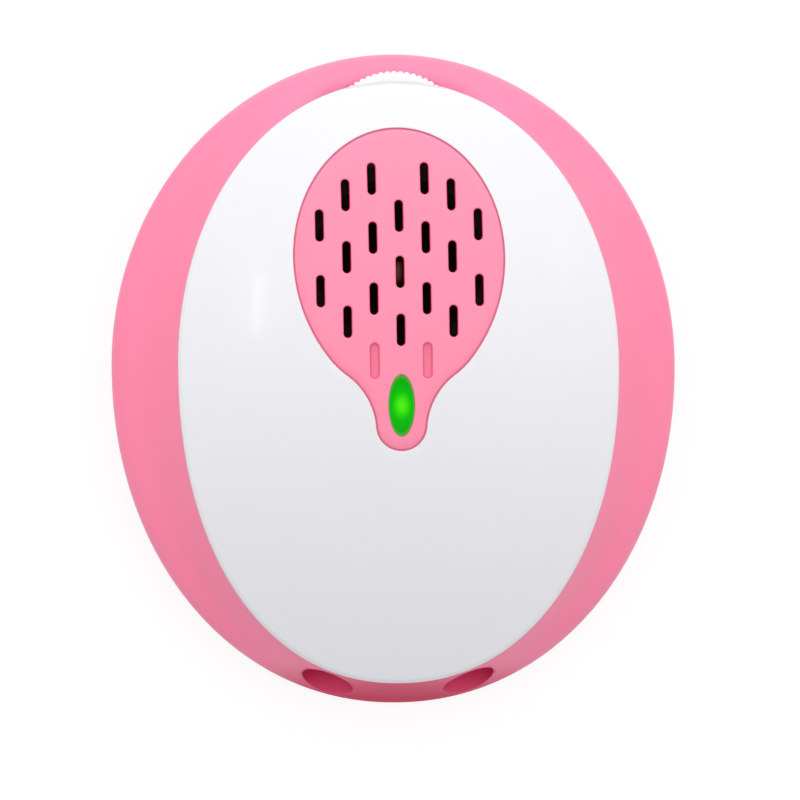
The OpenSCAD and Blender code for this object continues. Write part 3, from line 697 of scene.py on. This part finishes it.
# pink shoulder between the cover and the back
print("shoulder")
shoulder = {"rimZ": 13.0, "seamZ": 12.0, "groove": 0.12, "tuck": 1.5, "wall": 1.8, "steps": 288,
            "ledgeZ": 17.5,
            "side": [(0, 1), (0.1, 0.863), (0.2, 0.729), (0.35, 0.565), (0.5, 0.42), (0.65, 0.33),
                     (0.78, 0.258), (0.88, 0.19), (0.95, 0.12), (0.985, 0.06), (1, 0)],
            "jackEnd": [(0, 1), (0.2, 0.83), (0.4, 0.64), (0.6, 0.43), (0.8, 0.22), (0.9, 0.12), (1, 0)],
            "jackWall": 6.1, "ledgeIn": 5.0, "ledgeDrop": 2.5, "flangeZ": 15.5,
            # the skirt and mouth tones and the mouth fade set the painted shade at the jack end
            "skirtPaintedShade": (-46.5, -53.5), "mouthPaintedShade": (-47.5, -51.5), "mouthShadeFade": 0.2}
jacks = {"x": 11.7, "z": 17.75, "recess": 4.2, "tall": 0.893, "floorY": -45.4, "nozzle": 3.1, "bodyY": -43.9}


def shoulderHeight(u, turn):  # share of the height left at share u of the way from the cover to the rim
    sideways = smooth(0.25, 0.8, abs(math.cos(turn)))
    rounded = math.sqrt(max(0.0, 1 - u ** 2)) if math.sin(turn) > 0 else along(shoulder["jackEnd"], u)
    return sideways * along(shoulder["side"], u) + (1 - sideways) * rounded


def shoulderRings():
    turns = wholeTurn(shoulder["steps"])
    edge = [ovalPoint(coverOval, t) for t in turns]
    edgeZ = [shoulderTop(*p) for p in edge]
    rim = [ovalPoint(caseOval, t) for t in turns]
    tucked = [ovalPoint(coverOval, t, -shoulder["tuck"]) for t in turns]
    rings = [[(x, y, z - 0.2) for (x, y), z in zip(tucked, edgeZ)]]
    for step in range(27):
        u = math.sin(math.pi / 2 * step / 26)
        ring = []
        for k, turn in enumerate(turns):
            (x0, y0), (x1, y1) = edge[k], rim[k]
            height = (edgeZ[k] - shoulder["rimZ"]) * shoulderHeight(u, turn)
            ring.append((x0 + (x1 - x0) * u, y0 + (y1 - y0) * u, shoulder["rimZ"] + height))
        rings.append(ring)
    rings.append([(x, y, shoulder["seamZ"] + shoulder["groove"]) for x, y in rim])
    rings.append([(*ovalPoint(caseOval, t, -shoulder["groove"]), shoulder["seamZ"]) for t in turns])
    thick = [shoulder["wall"] + shoulder["jackWall"] * smooth(0.75, 0.93, -math.sin(t)) for t in turns]
    inner = [ovalPoint(caseOval, t, -w) for t, w in zip(turns, thick)]
    deep = [ovalPoint(coverOval, t, -shoulder["ledgeIn"]) for t in turns]
    rings.append([(x, y, shoulder["seamZ"]) for x, y in inner])
    rings.append([(x, y, shoulder["flangeZ"]) for x, y in inner])
    rings.append([(x, y, min(shoulder["ledgeZ"], z - 3)) for (x, y), z in zip(deep, edgeZ)])
    rings.append([(x, y, z - shoulder["ledgeDrop"]) for (x, y), z in zip(deep, edgeZ)])
    rings.append([(x, y, z - shoulder["ledgeDrop"]) for (x, y), z in zip(tucked, edgeZ)])
    return rings + rings[:1]


def lyingRod(x, z, radius, y0, y1, steps, tall=1.0):  # a rod along Y, to cut with
    bpy.ops.object.select_all(action="DESELECT")
    bpy.ops.mesh.primitive_cylinder_add(
        vertices=steps, radius=radius * mm, depth=(y1 - y0) * mm, scale=(1, tall, 1),
        rotation=(math.pi / 2, 0, 0), location=(x * mm, (y0 + y1) / 2 * mm, z * mm))
    return bpy.context.active_object


shell = ringSheet(shoulderRings())
recesses = []
for side in (-1, 1):
    jackX = side * jacks["x"]
    recesses.append(lyingRod(jackX, jacks["z"], jacks["recess"], -60, jacks["floorY"], 96, jacks["tall"]))
    recesses.append(lyingRod(jackX, jacks["z"], jacks["nozzle"], jacks["floorY"] - 1, jacks["bodyY"] + 3, 64))
wheelHole = circle(0, wheel["y"], wheel["radius"] + wheel["room"], 128)
cut(shell, *recesses, plug(wheelHole, [(0, wheel["z"] - 0.3), (0, 30)]))


def paintedShoulderShade(x, y, z):  # painted shade: 1 deep in the jack recesses, less at their mouths, and growing down the skirt there, where the jack end faces away from the light
    across = abs(abs(x) - jacks["x"]) / jacks["recess"]
    tall = abs(z - jacks["z"]) / (jacks["recess"] * jacks["tall"])
    if y < jacks["floorY"] + 0.1 and math.hypot(across, tall) < 1.01:
        return 1.0 - shoulder["mouthShadeFade"] * smooth(*shoulder["mouthPaintedShade"], y)
    return smooth(*shoulder["skirtPaintedShade"], y)


# painted shade on the shoulder's points, read by its material
paintedShadeAndPaperTone = shell.data.attributes.new("paintedShade", "FLOAT", "POINT")
paintedShadeAndPaperTone.data.foreach_set("value", [paintedShoulderShade(*(v.co / mm)) for v in shell.data.vertices])
finished(shell, "shoulderShell", "case", ["mid_frame"], looks["blastedPinkAbs"])

# pink back with the battery bay, the screw wells and the hole for the probe
print("back shell")
back = {"roundWide": 11.0, "roundHigh": 13.0, "wall": 1.8, "seamZ": 12.0, "groove": 0.12, "steps": 288}
bay = {"halfWide": 27.0, "y": (-2.2, 24.4), "ceiling": 19.6, "wall": 1.4, "roof": 1.3}
frameOfDoor = {"halfWide": 30.0, "before": 3.4, "after": 2.8, "z": (0.5, 4.6)}  # thicker floor round the door
door = {"halfWide": 28.0, "y": (-3.4, 25.6), "z": (0.15, 1.75), "corner": 1.8, "gap": 0.3, "hookX": 16.0,
        "hookWide": 6.0, "hookGap": 0.4, "hookSlotY": (-5.2, -1.8), "hookSlotZ": (1.7, 3.65), "recessZ": 1.8}
probe = {"y": -25.0, "radius": 17.5, "wall": 1.5, "hole": 17.6, "height": 10.0, "face": 1.4, "padZ": 2.6,
         "pad": 2.8}
posts = {"x": 31.0, "y": (31.0, -27.0), "z": 4.0, "radius": 3.6, "well": 2.9, "wellZ": 6.0, "bore": 1.25,
         "boreZ": (5.0, 20.0)}
thumbDip = {"radius": 8.0, "y": 27.6, "z": -6.6}  # a ball that leaves a shallow dip beside the door


def backRings():
    turns, look = wholeTurn(back["steps"]), back
    lastBend = math.acos(1 - look["seamZ"] / look["roundHigh"])
    flat = [ovalPoint(caseOval, t, -look["roundWide"]) for t in turns]
    midY = caseOval["midY"]

    def shrunk(share, z):
        return [(x * share, midY + (y - midY) * share, z) for x, y in flat]

    rings = [shrunk(share, 0) for share in (0, 0.35, 0.7, 0.9)]
    for k in range(17):
        bend = (lastBend - 0.012) * k / 16
        inset = look["roundWide"] * (1 - math.sin(bend))
        z = look["roundHigh"] * (1 - math.cos(bend))
        rings.append([(*ovalPoint(caseOval, t, -inset), z) for t in turns])
    rings.append([(*ovalPoint(caseOval, t, -look["groove"]), look["seamZ"]) for t in turns])
    for k in range(13):
        bend = math.radians(84.9) * (1 - k / 12)
        inset = look["roundWide"] - (look["roundWide"] - look["wall"]) * math.sin(bend)
        z = look["roundHigh"] - (look["roundHigh"] - look["wall"]) * math.cos(bend)
        rings.append([(*ovalPoint(caseOval, t, -inset), min(z, look["seamZ"])) for t in turns])
    return rings + [shrunk(share, look["wall"]) for share in (0.7, 0.35, 0)]


def atPosts():
    return [(side * posts["x"], y) for side in (-1, 1) for y in posts["y"]]


backShell = ringSheet(backRings())
wallX = bay["halfWide"] + bay["wall"]
wallY = (bay["y"][0] - bay["wall"], bay["y"][1] + bay["wall"])
frameX = (-frameOfDoor["halfWide"], frameOfDoor["halfWide"])
frameY = (bay["y"][0] - frameOfDoor["before"], bay["y"][1] + frameOfDoor["after"])
added = [block(frameX, frameY, frameOfDoor["z"]),
         block((-wallX, wallX), wallY, (1, bay["ceiling"] + bay["roof"])),
         plug(circle(0, probe["y"], probe["radius"] + probe["pad"]), [(0, 1.2), (0, probe["padZ"])])]
postEnds = [(0, posts["z"]), (0, back["seamZ"])]
added += [plug(circle(x, y, posts["radius"], 48), postEnds) for x, y in atPosts()]
cut(backShell, *added, operation="UNION")
doorRecess = roundRect(0, sum(door["y"]) / 2, 2 * (door["halfWide"] + door["gap"]),
                       door["y"][1] - door["y"][0] + 2 * door["gap"], 2)
hollows = [block((-bay["halfWide"], bay["halfWide"]), bay["y"], (-1, bay["ceiling"])),
           plug(doorRecess, fromBelow(mouthed(door["recessZ"], 0.3))),
           plug(circle(0, probe["y"], probe["hole"], 144), fromBelow(mouthed(8, 0.35)))]
for side in (-1, 1):
    hookX, hookHalf = side * door["hookX"], door["hookWide"] / 2 + door["hookGap"]
    hollows.append(block((hookX - hookHalf, hookX + hookHalf), door["hookSlotY"], door["hookSlotZ"]))
for x, y in atPosts():
    hollows.append(plug(circle(x, y, posts["well"], 64), fromBelow(mouthed(posts["wellZ"], 0.3))))
    hollows.append(plug(circle(x, y, posts["bore"], 32), [(0, z) for z in posts["boreZ"]]))
bpy.ops.object.select_all(action="DESELECT")
bpy.ops.mesh.primitive_uv_sphere_add(segments=64, ring_count=32, radius=thumbDip["radius"] * mm,
                                     location=(0, thumbDip["y"] * mm, thumbDip["z"] * mm))
hollows.append(bpy.context.active_object)
cut(backShell, *hollows)
finished(backShell, "backShell", "case", ["rear_shell"], looks["blastedPinkAbs"])

# battery door: a plate with rounded corners, two hooks and a ribbed place for the thumb
print("battery door")
lidLook = {"edge": 0.35, "hookEdge": 0.25, "ribs": 5, "ribPitch": 1.7, "ribWide": 0.9, "ribLong": 12.0,
           "ribDeep": 0.45, "ribMouth": 0.15, "firstRib": 2.6}
lid = block((-door["halfWide"], door["halfWide"]), door["y"], door["z"])


def bevelWhere(test, width, segments):  # rounds the lid's edges whose two ends pass the test
    bpy.ops.object.mode_set(mode="EDIT")
    bpy.ops.mesh.select_mode(type="EDGE")
    bpy.ops.mesh.select_all(action="DESELECT")
    bpy.ops.object.mode_set(mode="OBJECT")
    for edge in lid.data.edges:
        edge.select = test(*(lid.data.vertices[i].co / mm for i in edge.vertices))
    bpy.ops.object.mode_set(mode="EDIT")
    bpy.ops.mesh.bevel(offset=width * mm, segments=segments, affect="EDGES")
    bpy.ops.object.mode_set(mode="OBJECT")


bevelWhere(lambda a, b: abs(a.z - b.z) > 1, door["corner"], 8)
bevelWhere(lambda a, b: max(a.z, b.z) < door["z"][0] + 0.01, lidLook["edge"], 4)
hooks = []
for side in (-1, 1):
    x0, x1 = side * door["hookX"] - door["hookWide"] / 2, side * door["hookX"] + door["hookWide"] / 2
    hookZ = door["z"][1]
    hook = block((x0, x1), (door["y"][0] - 1, door["y"][0] + 1.2), (hookZ + 0.1, hookZ + 1.1))
    useModifier(hook, "BEVEL", width=lidLook["hookEdge"] * mm, segments=3)
    hooks += [hook, block((x0, x1), (door["y"][0] + 0.3, door["y"][0] + 1.15), (hookZ - 0.4, hookZ + 0.5))]
cut(lid, *hooks, operation="UNION")
ribOutline = capsule(0, 0, lidLook["ribWide"], lidLook["ribLong"])
ribLevels = mouthed(lidLook["ribDeep"], lidLook["ribMouth"])
ribs = [plug(ribOutline, ribLevels) for k in range(lidLook["ribs"])]
for k, rib in enumerate(ribs):  # grooves across the door, pressed in from its outer face
    ribY = door["y"][1] - lidLook["firstRib"] - lidLook["ribPitch"] * k
    rib.rotation_euler = (math.pi, 0, math.pi / 2)
    rib.location = (0, ribY * mm, door["z"][0] * mm)
cut(lid, joined(ribs))
finished(lid, "batteryLid", "battery_door", ["battery_door"], looks["blastedPinkAbs"])

# probe in the back: a white ring round an ivory contact face
print("probe")
ring, faceR, tall = probe["radius"], probe["radius"] - probe["wall"], probe["height"]
profile = [(ring, tall), (ring, 0.5), (ring - 0.12, 0.2), (ring - 0.4, 0.03), (ring - 0.7, 0),
           (faceR + 0.4, 0), (faceR + 0.15, 0.1), (faceR + 0.02, 0.35), (faceR + 0.02, tall - 1.2),
           (1.5, tall - 1.2), (1.5, tall), (ring, tall)]
probeRing = turned(profile, 144, 0, probe["y"])
cut(probeRing, plug(circle(0, probe["y"], ring + 1.8), [(0, 3.2), (0, 4.4)]), operation="UNION")
finished(probeRing, "probeRing", "case", ["probe_housing"], looks["handledWhiteAbs"])
bends = [math.radians(a) for a in range(0, 86, 5)]
crown = [(faceR * math.cos(bend), 0.35 * (1 - math.sin(bend))) for bend in bends]
profile = [(0.001, probe["face"]), (faceR, probe["face"])] + crown + [(0.001, 0.0)]
probeFace = turned(profile, 144, 0, probe["y"])
finished(probeFace, "probeFace", "case", ["probe_face"], looks["castIvoryPolyurethane"])

# the inner pieces keep their CAD shape and take their finish here
print("inner pieces")
finishes = {
    "zincPlatedSteel": ["speaker_magnet", "wheel_screw", "potentiometer_body", "case_screws", "board_screws",
                        "quartz_crystal"],
    "blackenedSteel": ["speaker_frame"],
    "openCellFoam": ["speaker_gasket", "battery_foam_pad"],
    "pulpPaperCone": ["speaker_cone"],
    "pressedCopperFoil": ["speaker_dust_cap"],
    "redPvcSleeve": ["speaker_leads", "probe_leads", "battery_leads", "volume_ribbon"],
    "naturalNylon": ["potentiometer_shaft"],
    "solderMaskBoard": ["main_board", "volume_board"],
    "filledBlackNylon": ["integrated_circuits", "headphone_jack_left", "headphone_jack_right",
                         "battery_connector"],
    "bluePvcSleeve": ["capacitors"],
    "firedTanCeramic": ["surface_mount_parts"],
    "castClearEpoxy": ["indicator_led"],
    "mouldedBlackRubber": ["probe_seal"],
    "firedSilverPaste": ["transmit_crystal", "receive_crystal"],
    "filledGreyEpoxy": ["crystal_backing"],
}
for finish, nodes in finishes.items():
    for node in nodes:
        paint(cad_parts[node], looks[finish])

# studio: a broad soft sky, brighter from the wheel end, over a white sweep
print("studio")
bpy.context.scene.view_settings.view_transform = "Standard"
sky = {"base": 0.67, "lengthwise": -0.08, "right": 0.03, "overhead": 0.5, "sides": 0.4, "wheelEnd": 3.6,
       "dark": 0.15, "darkTo": -0.65}
world = bpy.data.worlds.new("World")
bpy.context.scene.world = world
world.use_nodes = True
world.node_tree.nodes.clear()


def seenDirectly(owner):  # 1 for camera, mirror and glass rays
    rays = addNode(owner, "ShaderNodeLightPath")
    seen = rays.outputs["Is Camera Ray"]
    for other in ("Is Glossy Ray", "Is Transmission Ray"):
        both = addNode(owner, "ShaderNodeMath", {0: seen, 1: rays.outputs[other]}, operation="MAXIMUM")
        seen = both.outputs[0]
    return seen


towards = addNode(world, "ShaderNodeTexCoord").outputs["Generated"]
x, y, z = addNode(world, "ShaderNodeSeparateXYZ", {0: towards}).outputs
sideways = addNode(world, "ShaderNodeMath", {0: x}, operation="ABSOLUTE")
wheelwards = addNode(world, "ShaderNodeMath", {0: y, 1: 0.0}, operation="MAXIMUM")
lowness = addNode(world, "ShaderNodeMath", {0: 1.0, 1: z}, operation="SUBTRACT", use_clamp=True)
horizon = addNode(world, "ShaderNodeMath", {0: lowness.outputs[0], 1: 2.0}, operation="POWER")
height = addNode(world, "ShaderNodeMath", {0: z, 1: 0.0}, operation="MAXIMUM")
overhead = addNode(world, "ShaderNodeMath", {0: height.outputs[0], 1: 3.0}, operation="POWER")
shares = [(y, sky["lengthwise"]), (x, sky["right"]), (overhead.outputs[0], sky["overhead"])]
for part, share in ((sideways, sky["sides"]), (wheelwards, sky["wheelEnd"])):  # brighter near the horizon
    low = addNode(world, "ShaderNodeMath", {0: part.outputs[0], 1: horizon.outputs[0]}, operation="MULTIPLY")
    shares.append((low.outputs[0], share))
strength = sky["base"]
for part, share in shares:
    more = addNode(world, "ShaderNodeMath", {0: part, 1: share, 2: strength}, operation="MULTIPLY_ADD")
    strength = more.outputs[0]
fade = addNode(world, "ShaderNodeMapRange", {
    "Value": y, "From Min": -1.0, "From Max": sky["darkTo"], "To Min": sky["dark"]},
    interpolation_type="SMOOTHSTEP")
faded = addNode(world, "ShaderNodeMath", {0: strength, 1: fade.outputs["Result"]}, operation="MULTIPLY")
lightSky = addNode(world, "ShaderNodeBackground", {"Color": colour("#ffffff"), "Strength": faded.outputs[0]})
whiteSky = addNode(world, "ShaderNodeBackground", {"Color": colour("#ffffff"), "Strength": 1.0})
bothSkies = addNode(world, "ShaderNodeMixShader", {
    "Fac": seenDirectly(world), 1: lightSky.outputs[0], 2: whiteSky.outputs[0]})
addNode(world, "ShaderNodeOutputWorld", {"Surface": bothSkies.outputs[0]})


def lamp(name, aimAt, towards, distance, size, power):  # a soft box that lights a place from a direction
    data = bpy.data.lights.new(name, "AREA")
    data.shape, data.size, data.size_y, data.energy = "RECTANGLE", size[0], size[1], power
    thing = bpy.data.objects.new(name, data)
    away = Vector(towards).normalized()
    across = Vector((0, 1, 0)).cross(away).normalized()
    thing.location = Vector(aimAt) * mm + away * distance
    thing.rotation_euler = Matrix((across, away.cross(across), away)).transposed().to_euler()
    bpy.context.collection.objects.link(thing)


lamp("leftStrip", (-24.5, 12.9, 32), (-0.405, 0.231, 0.886), 1.0, (0.03, 0.2), 0.06)
lamp("rightStrip", (27, 20, 30), (0.565, 0.333, 0.756), 1.0, (0.02, 0.3), 0.02)

# painted paper that keeps the object's shadow and runs out to white
sheet = {"dark": "#8e8e90", "light": "#939395", "glow": 0.78, "mottle": 40.0, "z": -0.0002}
bpy.ops.object.select_all(action="DESELECT")
bpy.ops.mesh.primitive_plane_add(size=3.0, location=(0, 0, sheet["z"]))
floor = bpy.context.active_object
floor.name = "floor"
sweep = newMaterial("paintedPaperSweep")
place = addNode(sweep, "ShaderNodeTexCoord").outputs["Object"]
mottle = addNode(sweep, "ShaderNodeTexNoise", {"Vector": place, "Scale": sheet["mottle"], "Detail": 4.0})
paintedShadeAndPaperTone = addNode(sweep, "ShaderNodeMix", {
    "Factor": mottle.outputs["Fac"], 6: colour(sheet["dark"]), 7: colour(sheet["light"])}, data_type="RGBA")
paper = addNode(sweep, "ShaderNodeBsdfDiffuse", {"Color": paintedShadeAndPaperTone.outputs[2]})
glow = addNode(sweep, "ShaderNodeEmission", {"Color": colour("#ffffff"), "Strength": sheet["glow"]})
bright = addNode(sweep, "ShaderNodeAddShader", {0: paper.outputs[0], 1: glow.outputs[0]})
floorMix = addNode(sweep, "ShaderNodeMixShader", {
    "Fac": seenDirectly(sweep), 1: paper.outputs[0], 2: bright.outputs[0]})
clear = addNode(sweep, "ShaderNodeBsdfTransparent")
below = addNode(sweep, "ShaderNodeNewGeometry").outputs["Backfacing"]
under = addNode(sweep, "ShaderNodeMixShader", {"Fac": below, 1: floorMix.outputs[0], 2: clear.outputs[0]})
addNode(sweep, "ShaderNodeOutputMaterial", {"Surface": under.outputs[0]})
paint(floor, sweep)
